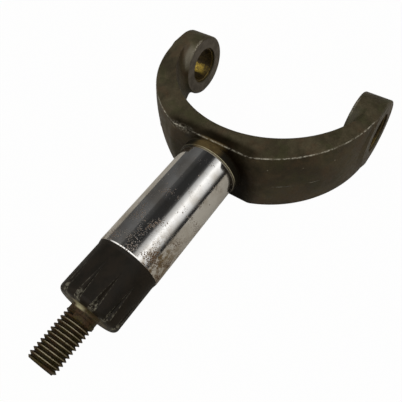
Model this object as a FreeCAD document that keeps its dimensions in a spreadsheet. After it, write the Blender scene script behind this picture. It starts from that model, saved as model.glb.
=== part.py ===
"""Shift fork: a forged yoke on a ground journal with a fluted seat and a threaded stud, and two eye bushes.

The origin is the middle of the eyes' common axis, which runs along Y. The shank runs along +X, towards the
stud, and +Z is square to the plane of the C. All sizes are in millimetres.
"""
import FreeCAD
import Part
import math
import os
import re

import Sketcher
from FreeCAD import Vector

SIZES = {
    # Crown and arms. The walls are barrel shaped, as a die parted at mid-height leaves them.
    "inner_radius": 73,
    "inner_centre": 6.5,
    "arm_wall": 10.7,
    "outer_centre": 6.5,
    "wall_bow": 150,
    "crown_cut": 7.1,
    "crown_corner": 8,
    "crown_margin": 0.6,
    "forging_edge": 1.1,
    # Eyes: each boss stands in from the arm on a filleted root, and its pad flares into the arm outside.
    "eye_wall": 9.2,
    "boss_shoulder": 0.4,
    "boss_stand_in": 9.7,
    "boss_edge": 1.2,
    "boss_root": 4,
    "pad_shoulder": 1.3,
    "pad_flare": 6,
    "pad_height": 3,
    "pad_sink": 0.8,
    "pad_edge": 1.2,
    # Bushes.
    "bush_radius": 14,
    "bush_wall": 1.5,
    "bush_recess": 1.4,
    "bush_lead": 0.5,
    "bore_chamfer": 0.3,
    # Collar and journal.
    "collar_step": 1.05,
    "collar_length": 5.6,
    "collar_fillet": 0.7,
    "journal_radius": 21.43,
    "journal_fillet": 1,
    "journal_length": 82.8,
    # Fluted seat.
    "seat_step": 0.63,
    "relief_length": 3,
    "seat_length": 36.6,
    "seat_corner": 3.2,
    "seat_cone": 0.9,
    "flute_count": 12,
    "flute_width": 4.3,
    "flute_depth": 1.6,
    "flute_length": 25.5,
    # Neck and threaded stud.
    "neck_step": 0.32,
    "neck_fillet": 0.8,
    "neck_length": 4.7,
    "thread_radius": 9.52,
    "thread_pitch": 2.54,
    "thread_depth": 1.56,
    "thread_length": 31.4,
    "stud_chamfer": 1.7,
    # How far a blank or a cut runs past the surface that it meets.
    "clearing": 3,
}

PLACES = {
    "outer_radius": "inner_radius + arm_wall",
    "crown_face": "outer_centre + outer_radius - crown_cut",
    "collar_radius": "journal_radius + collar_step",
    "collar_root": "collar_radius + collar_fillet",
    "crown_top": "collar_root + crown_margin + forging_edge",
    "tip_radius": "bush_radius + eye_wall",
    "boss_radius": "tip_radius + boss_shoulder",
    "pad_radius": "tip_radius + pad_shoulder",
    "eye_inside": "inner_radius - boss_stand_in",
    "eye_outside": "outer_radius - pad_sink",
    "collar_front": "crown_face + collar_length",
    "journal_end": "collar_front + journal_length",
    "seat_radius": "journal_radius - seat_step",
    "seat_end": "journal_end + seat_length",
    "neck_radius": "thread_radius - neck_step",
    "thread_start": "seat_end + neck_length",
    "stud_end": "thread_start + thread_length",
}

# The points of a sketch's edge, then the edges that stand for the sketch's own origin and axes.
START, END, CENTRE = range(1, 4)
ORIGIN = X_AXIS = -1
Y_AXIS = X_AXIS - 1
EDGE_STEPS = 6
NEAR = 0.01
THREAD_ANGLE = 60


def make_sheet(doc):
    """Keep every driving size in a named cell."""
    sheet = doc.addObject("Spreadsheet::Sheet", "Sizes")
    for row, (name, value) in enumerate(SIZES.items(), start=1):
        sheet.set(f"A{row}", name)
        sheet.set(f"B{row}", str(value))
        sheet.setAlias(f"B{row}", name)
    doc.recompute()
    return sheet


def sized(expression):
    """Write the names of sizes and places in an expression as cells of the sheet."""
    def cell(match):
        word = match.group(0)
        if word in PLACES:
            return f"({sized(PLACES[word])})"
        return f"Sizes.{word}" if word in SIZES else word
    return re.sub("[a-z_]+", cell, expression)


def bind(item, prop, expression):
    """Bind one property to an expression of the driving sizes."""
    item.setExpression(prop, sized(expression))


def number(item, expression):
    """Work out an expression of the driving sizes."""
    value = item.evalExpression(sized(expression))
    return float(getattr(value, "Value", value))


def new_sketch(body, name, plane):
    """Start a sketch on one of the body's own origin planes."""
    sketch = body.newObject("Sketcher::SketchObject", name)
    support = [item for item in body.Origin.OriginFeatures if item.Role == plane][0]
    sketch.AttachmentSupport = [(support, "")]
    sketch.MapMode = "FlatFace"
    return sketch


def arc_between(start, end, radius, turn):
    """Make the shorter arc from start to end: turn is 1 for anticlockwise and -1 for clockwise."""
    chord = end - start
    left = Vector(-chord.y, chord.x, 0).normalize()
    height = math.sqrt(max(radius ** 2 - (chord.Length / 2) ** 2, 0))
    centre = (start + end) / 2 + left * height * turn
    first, last = (start, end) if turn > 0 else (end, start)
    first_angle = math.atan2(first.y - centre.y, first.x - centre.x)
    last_angle = math.atan2(last.y - centre.y, last.x - centre.x)
    if last_angle < first_angle:
        last_angle += 2 * math.pi
    return Part.ArcOfCircle(Part.Circle(centre, Vector(0, 0, 1), radius), first_angle, last_angle)


def pin_point(sketch, edge, end, across, up):
    """Fix one end of a sketch edge at two bound distances from the sketch's origin."""
    for kind, axis, expression in (("DistanceX", Y_AXIS, across), ("DistanceY", X_AXIS, up)):
        if expression == "0":
            sketch.addConstraint(Sketcher.Constraint("PointOnObject", edge, end, axis))
            continue
        value = number(sketch, expression)
        index = sketch.addConstraint(Sketcher.Constraint(kind, ORIGIN, 1, edge, end, value))
        bind(sketch, f"Constraints[{index}]", expression)


def draw_outline(sketch, corners):
    """Draw a closed outline through the corners.

    A corner is (across, up), or (across, up, radius, turn) where the run to the next corner is an arc.
    """
    places = [Vector(number(sketch, corner[0]), number(sketch, corner[1]), 0) for corner in corners]
    ends = []
    first_edge = sketch.GeometryCount
    for index, corner in enumerate(corners):
        start = places[index]
        end = places[(index + 1) % len(places)]
        if len(corner) == 2:
            sketch.addGeometry(Part.LineSegment(start, end), False)
            ends.append((START, END))
        else:
            sketch.addGeometry(arc_between(start, end, number(sketch, corner[2]), corner[3]), False)
            ends.append((START, END) if corner[3] > 0 else (END, START))
    for index, corner in enumerate(corners):
        edge = first_edge + index
        following = (index + 1) % len(corners)
        meeting = (first_edge + following, ends[following][0])
        sketch.addConstraint(Sketcher.Constraint("Coincident", edge, ends[index][1], *meeting))
        pin_point(sketch, edge, ends[index][0], corner[0], corner[1])
        if len(corner) == 4:
            constraint = Sketcher.Constraint("Radius", edge, number(sketch, corner[2]))
            bind(sketch, f"Constraints[{sketch.addConstraint(constraint)}]", corner[2])


def draw_run(sketch, corners):
    """Draw an open run of straight edges through the corners, and give its first and last edge."""
    places = [Vector(number(sketch, across), number(sketch, up), 0) for across, up in corners]
    first = sketch.GeometryCount
    for start, end in zip(places, places[1:]):
        sketch.addGeometry(Part.LineSegment(start, end), False)
    last = sketch.GeometryCount - 1
    for edge in range(first, last):
        sketch.addConstraint(Sketcher.Constraint("Coincident", edge, END, edge + 1, START))
    for edge, (across, up) in enumerate(corners[:-1], start=first):
        pin_point(sketch, edge, START, across, up)
    pin_point(sketch, last, END, *corners[-1])
    return first, last


def draw_circle(sketch, radius):
    """Draw a circle of a bound radius about the sketch's origin."""
    value = number(sketch, radius)
    edge = sketch.addGeometry(Part.Circle(Vector(0, 0, 0), Vector(0, 0, 1), value), False)
    sketch.addConstraint(Sketcher.Constraint("Coincident", edge, CENTRE, ORIGIN, 1))
    constraint = Sketcher.Constraint("Radius", edge, value)
    bind(sketch, f"Constraints[{sketch.addConstraint(constraint)}]", radius)


def turned(body, kind, name, sketch, axis):
    """Turn a sketch right round one of its own axes, as added or removed material."""
    feature = body.newObject(f"PartDesign::{kind}", name)
    feature.Profile = sketch
    feature.ReferenceAxis = (sketch, [axis])
    feature.Angle = 360
    return feature


def cut_through(body, name, sketch):
    """Cut a sketch right through the body, both ways."""
    feature = body.newObject("PartDesign::Pocket", name)
    feature.Profile = sketch
    feature.SideType = "Symmetric"
    feature.Type = "ThroughAll"
    return feature


def mirror_across(body, name, feature):
    """Repeat a feature at the other eye."""
    mirror = body.newObject("PartDesign::Mirrored", name)
    mirror.Originals = [feature]
    plane = [item for item in body.Origin.OriginFeatures if item.Role == "XZ_Plane"][0]
    mirror.MirrorPlane = (plane, [""])
    body.Tip = mirror
    return mirror


def barrel(radius, height):
    """Give the radius of a barrel-shaped wall at a height above the parting plane."""
    return f"{radius} - wall_bow + sqrt(wall_bow ^ 2 - ({height}) ^ 2)"


def edges_where(body, test, shortest=0):
    """Name the body's edges above a shortest length whose every sampled point passes a test."""
    body.Document.recompute()
    names = []
    for index, edge in enumerate(body.Shape.Edges, start=1):
        first, last = edge.ParameterRange
        gap = (last - first) / EDGE_STEPS
        points = [edge.valueAt(first + gap * step) for step in range(EDGE_STEPS + 1)]
        if edge.Length > shortest and all(test(point) for point in points):
            names.append(f"Edge{index}")
    return names


def dress_edges(body, kind, name, edges, prop, size):
    """Round or bevel edges of the body so far."""
    base = body.Tip
    feature = body.newObject(f"PartDesign::{kind}", name)
    feature.Base = (base, edges)
    bind(feature, prop, size)


def add_crown_and_arms(body):
    """Turn the blank of the C, open its middle and cut the flat face that carries the shank."""
    reach = "crown_top + clearing"

    blank = new_sketch(body, "BlankSketch", "XZ_Plane")
    bind(blank, "AttachmentOffset.Base.x", "outer_centre")
    rim = barrel("outer_radius", reach)
    corners = [("0", f"-({reach})"), (rim, f"-({reach})", "wall_bow", 1), (rim, reach), ("0", reach)]
    draw_outline(blank, corners)
    turned(body, "Revolution", "Blank", blank, "V_Axis")

    middle = new_sketch(body, "MiddleSketch", "XZ_Plane")
    bind(middle, "AttachmentOffset.Base.x", "-inner_centre")
    beyond = "crown_top + 2 * clearing"
    wall = f"inner_radius + wall_bow - sqrt(wall_bow ^ 2 - ({beyond}) ^ 2)"
    corners = [("0", f"-({beyond})"), (wall, f"-({beyond})", "wall_bow", -1), (wall, beyond), ("0", beyond)]
    draw_outline(middle, corners)
    turned(body, "Groove", "Middle", middle, "V_Axis")

    face = new_sketch(body, "CrownFaceSketch", "XZ_Plane")
    far = "outer_centre + outer_radius + clearing"
    corners = [("crown_face", f"-({beyond})"), (far, f"-({beyond})"), (far, beyond), ("crown_face", beyond)]
    draw_outline(face, corners)
    cut_through(body, "CrownFace", face)


def add_bosses(body):
    """Turn each eye's boss about the eyes' axis, and fillet its root, where it stands in from the arm."""
    sketch = new_sketch(body, "BossSketch", "XY_Plane")
    draw_outline(sketch, [
        ("0", "eye_inside"),
        ("boss_radius - boss_edge", "eye_inside", "boss_edge", 1),
        ("boss_radius", "eye_inside + boss_edge"),
        ("boss_radius", "eye_outside - pad_height / 2"),
        ("0", "eye_outside - pad_height / 2"),
    ])
    boss = turned(body, "Revolution", "Boss", sketch, "V_Axis")
    mirror_across(body, "Bosses", boss)

    boss_radius = number(body, "boss_radius")
    inner_centre = number(body, "inner_centre")
    wall_bow = number(body, "wall_bow")
    wall = number(body, "inner_radius + wall_bow")

    def on_root(point):
        from_boss = math.hypot(point.x, point.z) - boss_radius
        bow = math.sqrt(max(wall_bow ** 2 - point.z ** 2, 0))
        from_wall = math.hypot(point.x + inner_centre, point.y) - (wall - bow)
        return max(abs(from_boss), abs(from_wall)) < NEAR

    dress_edges(body, "Fillet", "BossRoots", edges_where(body, on_root), "Radius", "boss_root")


def add_pads(body):
    """Turn the pad on the outside of each eye, which flares into the arm, and face it off."""
    sketch = new_sketch(body, "PadSketch", "XY_Plane")
    draw_outline(sketch, [
        ("0", "eye_outside - pad_height"),
        ("pad_radius + pad_flare", "eye_outside - pad_height"),
        ("pad_radius", "eye_outside"),
        ("0", "eye_outside"),
    ])
    pad = turned(body, "Revolution", "Pad", sketch, "V_Axis")
    mirror_across(body, "Pads", pad)

    facing = new_sketch(body, "PadFaceSketch", "XY_Plane")
    width = "pad_radius + clearing"
    far = "outer_radius + clearing"
    draw_outline(facing, [("0", "eye_outside"), (width, "eye_outside"), (width, far), ("0", far)])
    face = turned(body, "Groove", "PadFace", facing, "V_Axis")
    mirror_across(body, "PadFaces", face)


def add_shank(body):
    """Turn the collar, the journal, the seat, the neck and the stud about the shank's axis."""
    corners = [
        ("crown_face - 2 * clearing", "0"),
        ("crown_face - 2 * clearing", "collar_root"),
        ("crown_face", "collar_root", "collar_fillet", 1),
        ("crown_face + collar_fillet", "collar_radius"),
        ("collar_front", "collar_radius"),
        ("collar_front", "journal_radius + journal_fillet", "journal_fillet", 1),
        ("collar_front + journal_fillet", "journal_radius"),
        ("journal_end", "journal_radius"),
        ("journal_end + relief_length", "seat_radius"),
        ("seat_end - seat_corner", "seat_radius", "seat_corner", -1),
        ("seat_end", "seat_radius - seat_corner"),
        ("seat_end + seat_cone", "neck_radius + neck_fillet", "neck_fillet", 1),
        ("seat_end + seat_cone + neck_fillet", "neck_radius"),
        ("thread_start - thread_radius + neck_radius", "neck_radius"),
        ("thread_start", "thread_radius"),
        ("stud_end - stud_chamfer", "thread_radius"),
        ("stud_end", "thread_radius - stud_chamfer"),
        ("stud_end", "0"),
    ]
    sketch = new_sketch(body, "ShankSketch", "XZ_Plane")
    draw_outline(sketch, corners)
    turned(body, "Revolution", "Shank", sketch, "H_Axis")


def trim_side(body):
    """Trim everything to the side outline: round tips, arms that taper towards them, and a level crown."""
    sketch = new_sketch(body, "SideSketch", "XZ_Plane")
    tall = "crown_top + journal_radius + clearing"
    behind = "-(outer_radius + clearing)"
    past = "stud_end + clearing"
    draw_outline(sketch, [(behind, f"-({tall})"), (past, f"-({tall})"), (past, tall), (behind, tall)])

    clear = "crown_top + journal_radius"
    stop = "stud_end + clearing / 2"
    first, last = draw_run(sketch, [
        ("crown_face", "crown_top"),
        ("collar_front", "crown_top"),
        ("collar_front", clear),
        (stop, clear),
        (stop, f"-({clear})"),
        ("collar_front", f"-({clear})"),
        ("collar_front", "-crown_top"),
        ("crown_face", "-crown_top"),
    ])

    radius = number(sketch, "tip_radius")
    face = number(sketch, "crown_face")
    top = number(sketch, "crown_top")
    circle = Part.Circle(Vector(0, 0, 0), Vector(0, 0, 1), radius)
    tip = sketch.addGeometry(Part.ArcOfCircle(circle, math.pi / 2, 3 * math.pi / 2), False)
    upper = sketch.addGeometry(Part.LineSegment(Vector(0, radius, 0), Vector(face, top, 0)), False)
    lower = sketch.addGeometry(Part.LineSegment(Vector(0, -radius, 0), Vector(face, -top, 0)), False)
    sketch.addConstraint(Sketcher.Constraint("Coincident", tip, CENTRE, ORIGIN, 1))
    constraint = Sketcher.Constraint("Radius", tip, radius)
    bind(sketch, f"Constraints[{sketch.addConstraint(constraint)}]", "tip_radius")
    sketch.addConstraint(Sketcher.Constraint("Tangent", tip, START, upper, START))
    sketch.addConstraint(Sketcher.Constraint("Tangent", tip, END, lower, START))
    sketch.addConstraint(Sketcher.Constraint("Coincident", upper, END, first, START))
    sketch.addConstraint(Sketcher.Constraint("Coincident", lower, END, last, END))
    cut_through(body, "SideTrim", sketch)


def round_forging(body):
    """Round the crown's corners, then the rims of the C, then the outer edge of each eye's pad."""
    crown_face = number(body, "crown_face")
    collar_root = number(body, "collar_root")

    def on_crown_corner(point):
        return abs(point.x - crown_face) < NEAR and abs(point.y) > collar_root

    corners = edges_where(body, on_crown_corner)
    dress_edges(body, "Fillet", "CrownCorners", corners, "Radius", "crown_corner")

    rim_height = number(body, "tip_radius") - NEAR
    outer_centre = number(body, "outer_centre")
    inner_centre = number(body, "inner_centre")
    wall_bow = number(body, "wall_bow")
    outer_wall = number(body, "outer_radius - wall_bow")
    inner_wall = number(body, "inner_radius + wall_bow")

    def on_outer_rim(point):
        wall = outer_wall + math.sqrt(max(wall_bow ** 2 - point.z ** 2, 0))
        return abs(point.z) > rim_height and abs(math.hypot(point.x - outer_centre, point.y) - wall) < NEAR

    def on_inner_rim(point):
        wall = inner_wall - math.sqrt(max(wall_bow ** 2 - point.z ** 2, 0))
        return abs(point.z) > rim_height and abs(math.hypot(point.x + inner_centre, point.y) - wall) < NEAR

    shortest = number(body, "forging_edge")
    for name, test in (("OuterRims", on_outer_rim), ("InnerRims", on_inner_rim)):
        rims = edges_where(body, test, shortest)
        dress_edges(body, "Fillet", name, rims, "Radius", "forging_edge")

    eye_outside = number(body, "eye_outside")

    def on_pad_edge(point):
        return abs(abs(point.y) - eye_outside) < NEAR

    dress_edges(body, "Fillet", "PadEdges", edges_where(body, on_pad_edge), "Radius", "pad_edge")


def bore_eyes(body):
    """Bore both eyes in line and bevel the mouths of the bores."""
    sketch = new_sketch(body, "BoreSketch", "XZ_Plane")
    draw_circle(sketch, "bush_radius")
    cut_through(body, "Bores", sketch)

    bore = number(body, "bush_radius")
    between = number(body, "eye_inside / 2")

    def on_bore_mouth(point):
        return abs(math.hypot(point.x, point.z) - bore) < NEAR and abs(point.y) > between

    mouths = [name for name in edges_where(body, on_bore_mouth)
              if body.Shape.getElement(name).isClosed()]
    dress_edges(body, "Chamfer", "BoreMouths", mouths, "Size", "bore_chamfer")


def cut_flutes(body):
    """Cut the seat's flutes: V-shaped, from nothing to their full depth and width at the seat's end."""
    slope = "flute_depth / flute_length"
    top = "seat_radius + clearing"
    sections = [
        ("FluteStart", "seat_end - flute_length - clearing", f"seat_radius + {slope} * clearing"),
        ("FluteEnd", "seat_end + clearing", f"seat_radius - flute_depth - {slope} * clearing"),
    ]
    sketches = []
    for name, along, root in sections:
        sketch = new_sketch(body, name, "YZ_Plane")
        bind(sketch, "AttachmentOffset.Base.z", along)
        half = f"({top} - ({root})) * flute_width / (2 * flute_depth)"
        draw_outline(sketch, [("0", root), (half, top), (f"-({half})", top)])
        sketches.append(sketch)
    flute = body.newObject("PartDesign::SubtractiveLoft", "Flute")
    flute.Profile = sketches[0]
    flute.Sections = sketches[1:]
    flute.Ruled = True

    flutes = body.newObject("PartDesign::PolarPattern", "Flutes")
    flutes.Originals = [flute]
    axis = [item for item in body.Origin.OriginFeatures if item.Role == "X_Axis"][0]
    flutes.Axis = (axis, [""])
    flutes.Angle = 360
    bind(flutes, "Occurrences", "flute_count")
    body.Tip = flutes


def cut_thread(body):
    """Cut the stud's thread: a right-handed groove with 60 degree flanks and a narrow flat root."""
    slope = math.tan(math.radians(THREAD_ANGLE / 2))
    root = "thread_radius - thread_depth"
    crest = "thread_radius + thread_pitch / 16"
    half_root = "thread_pitch / 16"
    half_crest = f"({half_root} + {slope} * ({crest} - ({root})))"
    middle = "thread_start + thread_pitch / 2"
    sketch = new_sketch(body, "ThreadSketch", "XZ_Plane")
    draw_outline(sketch, [
        (f"{middle} - {half_root}", root),
        (f"{middle} + {half_root}", root),
        (f"{middle} + {half_crest}", crest),
        (f"{middle} - {half_crest}", crest),
    ])
    thread = body.newObject("PartDesign::SubtractiveHelix", "Thread")
    thread.Profile = sketch
    thread.ReferenceAxis = (sketch, ["H_Axis"])
    thread.Mode = "pitch-height-angle"
    bind(thread, "Pitch", "thread_pitch")
    bind(thread, "Height", "thread_length")


def make_fork(doc):
    """Build the forging and its machined surfaces as one body."""
    body = doc.addObject("PartDesign::Body", "Fork")
    body.Label = "fork"
    forging = (add_crown_and_arms, add_bosses, add_pads, add_shank, trim_side, round_forging)
    machining = (bore_eyes, cut_thread, cut_flutes)
    for step in forging + machining:
        step(body)
        doc.recompute()
    return body


def make_bush(doc, name, label, turn):
    """Turn one bush, pressed into its eye a little below both faces."""
    body = doc.addObject("PartDesign::Body", name)
    body.Label = label
    inside = "bush_radius - bush_wall"
    near = "eye_inside + bush_recess"
    far = "eye_outside - bush_recess"
    sketch = new_sketch(body, f"{name}Sketch", "XY_Plane")
    draw_outline(sketch, [
        (inside, f"{near} + bush_lead"),
        (f"{inside} + bush_lead", near),
        ("bush_radius", near),
        ("bush_radius", far),
        (f"{inside} + bush_lead", far),
        (inside, f"{far} - bush_lead"),
    ])
    turned(body, "Revolution", f"{name}Ring", sketch, "V_Axis")
    body.Placement = FreeCAD.Placement(Vector(0, 0, 0), FreeCAD.Rotation(Vector(0, 0, 1), turn))
    return body


def check(doc, parts):
    """Stop if any object failed or any piece has no sound solid."""
    for item in doc.Objects:
        if "Invalid" in item.State or "Error" in item.State:
            raise RuntimeError(f"{item.Name} is {item.State}")
    for part in parts:
        if part.Shape.isNull() or not part.Shape.isValid() or len(part.Shape.Solids) != 1:
            raise RuntimeError(f"{part.Label} is not one sound solid")


def main():
    """Build the pieces, check them and write one file for each."""
    doc = FreeCAD.newDocument("ShiftFork")
    make_sheet(doc)
    parts = [
        make_fork(doc),
        make_bush(doc, "BushRight", "bush_right", 0),
        make_bush(doc, "BushLeft", "bush_left", 180),
    ]
    doc.recompute()
    check(doc, parts)
    os.makedirs("parts", exist_ok=True)
    for part in parts:
        part.Shape.exportStep(f"parts/{part.Label}.step")
        print(part.Label, round(part.Shape.Volume), "mm3")


main()
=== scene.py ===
"""The looks of a used shift fork: a forged yoke on a ground journal, with a fluted seat and a threaded stud.

Everything is in metres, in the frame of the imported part: the origin is the middle of the eyes' common axis,
which runs along Y, +X runs along the shank towards the stud, and +Z is square to the plane of the C. The
finishes give their places and sizes in millimetres, and their angles in degrees.
"""
import logging
import math
from dataclasses import dataclass
from enum import Enum

import bpy
from mathutils import Matrix, Vector


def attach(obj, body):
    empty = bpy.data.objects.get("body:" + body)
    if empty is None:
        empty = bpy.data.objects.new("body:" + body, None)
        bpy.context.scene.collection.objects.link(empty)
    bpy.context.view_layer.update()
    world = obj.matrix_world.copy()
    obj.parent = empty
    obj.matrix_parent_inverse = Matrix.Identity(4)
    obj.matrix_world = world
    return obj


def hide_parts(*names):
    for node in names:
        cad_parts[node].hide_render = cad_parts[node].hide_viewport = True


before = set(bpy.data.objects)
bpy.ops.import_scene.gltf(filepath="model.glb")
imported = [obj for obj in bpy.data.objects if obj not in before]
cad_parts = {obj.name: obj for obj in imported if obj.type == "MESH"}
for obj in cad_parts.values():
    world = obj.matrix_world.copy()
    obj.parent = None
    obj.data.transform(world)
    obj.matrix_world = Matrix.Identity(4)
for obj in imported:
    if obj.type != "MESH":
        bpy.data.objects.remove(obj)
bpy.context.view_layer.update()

log = logging.getLogger("shift_fork")

Colour = tuple[float, float, float]
# Where a step starts, and where it is complete.
Span = tuple[float, float]
# The middle of a band, half its width, and how far it fades beyond that.
Band = tuple[float, float, float]
Socket = bpy.types.NodeSocket
Piece = bpy.types.Object
Value = float | Socket

PHOTO_WIDTH = 402
KEPT_NORMALS = "packed_normals"
MILLIMETRE = 0.001
MERGE_DISTANCE = 0.001 * MILLIMETRE
# The cosine of the largest angle between a kept normal and its face.
LEAST_AGREEMENT = 0.5


@dataclass(frozen=True)
class ForkSizes:
    """The sizes that the cuts and the finishes share: lengths in metres, and the number of flutes."""

    crown_face: float = 0.0831
    collar_root_end: float = 0.0838
    collar_radius: float = 0.02248
    collar_front: float = 0.0887
    journal_start: float = 0.0896
    seat_start: float = 0.1722
    seat_end: float = 0.2049
    neck_start: float = 0.2084
    crown_top: float = 0.02488
    seat_radius: float = 0.0208
    boss_radius: float = 0.0236
    outer_centre: float = 0.0065
    outer_radius: float = 0.0837
    flute_start: float = 0.1826
    flute_end: float = 0.2081
    flute_width: float = 0.0043
    flute_count: int = 12


SIZES = ForkSizes()


class Blend(Enum):
    """How one colour is laid over another."""

    OVER = "MIX"
    DARKEN = "MULTIPLY"


class Wiring:
    """A node tree, with a short call for each kind of node that the finishes and the light share."""

    def __init__(self, tree: bpy.types.NodeTree) -> None:
        """Take up a node tree."""
        self.tree = tree

    def add(
        self, kind: str, inputs: dict[int | str, object] | None = None, **settings: object,
    ) -> bpy.types.Node:
        """Add a node.

        Args:
            kind: Blender's name for the node's type.
            inputs: Values or sockets for its inputs, by name or place.
            settings: Properties of the node itself.

        Returns:
            The new node.
        """
        node = self.tree.nodes.new(kind)
        for key, value in settings.items():
            setattr(node, key, value)
        for key, value in (inputs or {}).items():
            if isinstance(value, Socket):
                self.tree.links.new(value, node.inputs[key])
            else:
                node.inputs[key].default_value = value
        return node

    def math(self, operation: str, *values: Value) -> Socket:
        """Work out one arithmetic step, by Blender's name for it, and return the result."""
        return self.add("ShaderNodeMath", dict(enumerate(values)), operation=operation).outputs[0]

    def times(self, first: Value, *others: Value) -> Socket:
        """Multiply two or more values, and return the product."""
        for other in others:
            first = self.math("MULTIPLY", first, other)
        return first

    def most(self, first: Value, *others: Value) -> Socket:
        """Return the largest of two or more values."""
        for other in others:
            first = self.math("MAXIMUM", first, other)
        return first

    def step(self, value: Value, low: float, high: float, start: float = 0, end: float = 1) -> Socket:
        """Turn a value into a smooth step.

        Args:
            value: What is measured.
            low: Where the step starts.
            high: Where it ends, which may be below the start.
            start: The result before the step.
            end: The result after it.

        Returns:
            The step.
        """
        inputs = {"Value": value, "From Min": low, "From Max": high, "To Min": start, "To Max": end}
        node = self.add("ShaderNodeMapRange", inputs, interpolation_type="SMOOTHSTEP")
        return node.outputs["Result"]

    def between(self, share: Value, first: Value, second: Value) -> Socket:
        """Return the value that lies at a share of the way from the first to the second."""
        node = self.add("ShaderNodeMix", {"Factor": share, "A": first, "B": second})
        return node.outputs["Result"]

    def seen_white(self) -> Socket:
        """Return 1 for the rays that see the surroundings white: the camera's, and those through glass."""
        path = self.add("ShaderNodeLightPath")
        return self.most(path.outputs["Is Camera Ray"], path.outputs["Is Transmission Ray"])


class Recipe(Wiring):
    """A material's node tree. Its pattern coordinates are the piece's own, in millimetres."""

    def __init__(self, name: str) -> None:
        """Start a material.

        Args:
            name: The material's name.
        """
        self.material = bpy.data.materials.new(name)
        self.material.use_nodes = True
        super().__init__(self.material.node_tree)
        self.shader = self.tree.nodes["Principled BSDF"]
        source = self.add("ShaderNodeTexCoord")
        scaled = self.add("ShaderNodeVectorMath", {0: source.outputs["Object"]}, operation="SCALE")
        scaled.inputs["Scale"].default_value = 1 / MILLIMETRE
        self.place = scaled.outputs["Vector"]
        split = self.add("ShaderNodeSeparateXYZ", {0: self.place})
        self.x, self.y, self.z = split.outputs
        facing = self.add("ShaderNodeSeparateXYZ", {0: source.outputs["Normal"]})
        self.facing_z = facing.outputs["Z"]

    def band(self, value: Value, middle: float, half: float, soft: float) -> Socket:
        """Return 1 within half of the middle value, falling to 0 over the soft width."""
        distance = self.math("ABSOLUTE", self.math("SUBTRACT", value, middle))
        return self.step(distance, half + soft, half)

    def length(self, first: Socket, second: Socket) -> Socket:
        """Return the length of the two sides' diagonal."""
        squares = self.math("ADD", self.math("POWER", first, 2.0), self.math("POWER", second, 2.0))
        return self.math("SQRT", squares)

    def angle(self, across: Socket, up: Socket) -> Socket:
        """Return the angle of a place, in degrees, from up towards across."""
        return self.times(self.math("ARCTAN2", across, up), 180 / math.pi)

    def stretched(self, along: float, across: float, up: float) -> Socket:
        """Return the pattern coordinates scaled along each axis."""
        node = self.add("ShaderNodeMapping", {"Vector": self.place, "Scale": (along, across, up)})
        return node.outputs["Vector"]

    def noise(
        self, size: float, detail: float = 3, rough: float = 0.55, place: Socket | None = None,
    ) -> Socket:
        """Make cloudy noise.

        Args:
            size: The size of its clouds, in millimetres.
            detail: How many finer layers it has.
            rough: How strong the finer layers are.
            place: Other coordinates than the piece's own.

        Returns:
            The noise, from 0 to 1.
        """
        inputs = {"Vector": place or self.place, "Scale": 1 / size, "Detail": detail, "Roughness": rough}
        return self.add("ShaderNodeTexNoise", inputs).outputs["Fac"]

    def spots(self, size: float) -> Socket:
        """Return the distance to the nearest of many scattered points, as a share of their spacing."""
        inputs = {"Vector": self.place, "Scale": 1 / size}
        return self.add("ShaderNodeTexVoronoi", inputs).outputs["Distance"]

    def mix(
        self, share: Value, first: Colour | Socket, second: Colour | Socket, blend: Blend = Blend.OVER,
    ) -> Socket:
        """Lay one colour over another.

        Args:
            share: How much of the second colour to lay.
            first: The colour below.
            second: The colour laid over it.
            blend: How it is laid.

        Returns:
            The mixed colour.
        """
        colours = [colour if isinstance(colour, Socket) else (*colour, 1) for colour in (first, second)]
        node = self.add("ShaderNodeMix", data_type="RGBA", blend_type=blend.value)
        # This node lists its sockets for numbers and vectors before those for colours.
        for socket, value in zip((node.inputs[0], node.inputs[6], node.inputs[7]), (share, *colours)):
            if isinstance(value, Socket):
                self.tree.links.new(value, socket)
            else:
                socket.default_value = value
        return node.outputs[2]

    def relief(self, height: Socket, depth: float, below: Socket | None = None) -> Socket:
        """Raise the surface by a height.

        Args:
            height: The height, from 0 to 1.
            depth: The full height in millimetres.
            below: The normal of the layer below.

        Returns:
            The new normal.
        """
        node = self.add("ShaderNodeBump", {"Height": height, "Distance": depth * MILLIMETRE})
        if below:
            self.tree.links.new(below, node.inputs["Normal"])
        return node.outputs["Normal"]

    def finish(self, **inputs: object) -> bpy.types.Material:
        """Set the shader's inputs, with spaces in their names as underscores, and return the material."""
        for key, value in inputs.items():
            socket = self.shader.inputs[key.replace("_", " ")]
            if isinstance(value, Socket):
                self.tree.links.new(value, socket)
            else:
                socket.default_value = value
        return self.material


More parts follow.
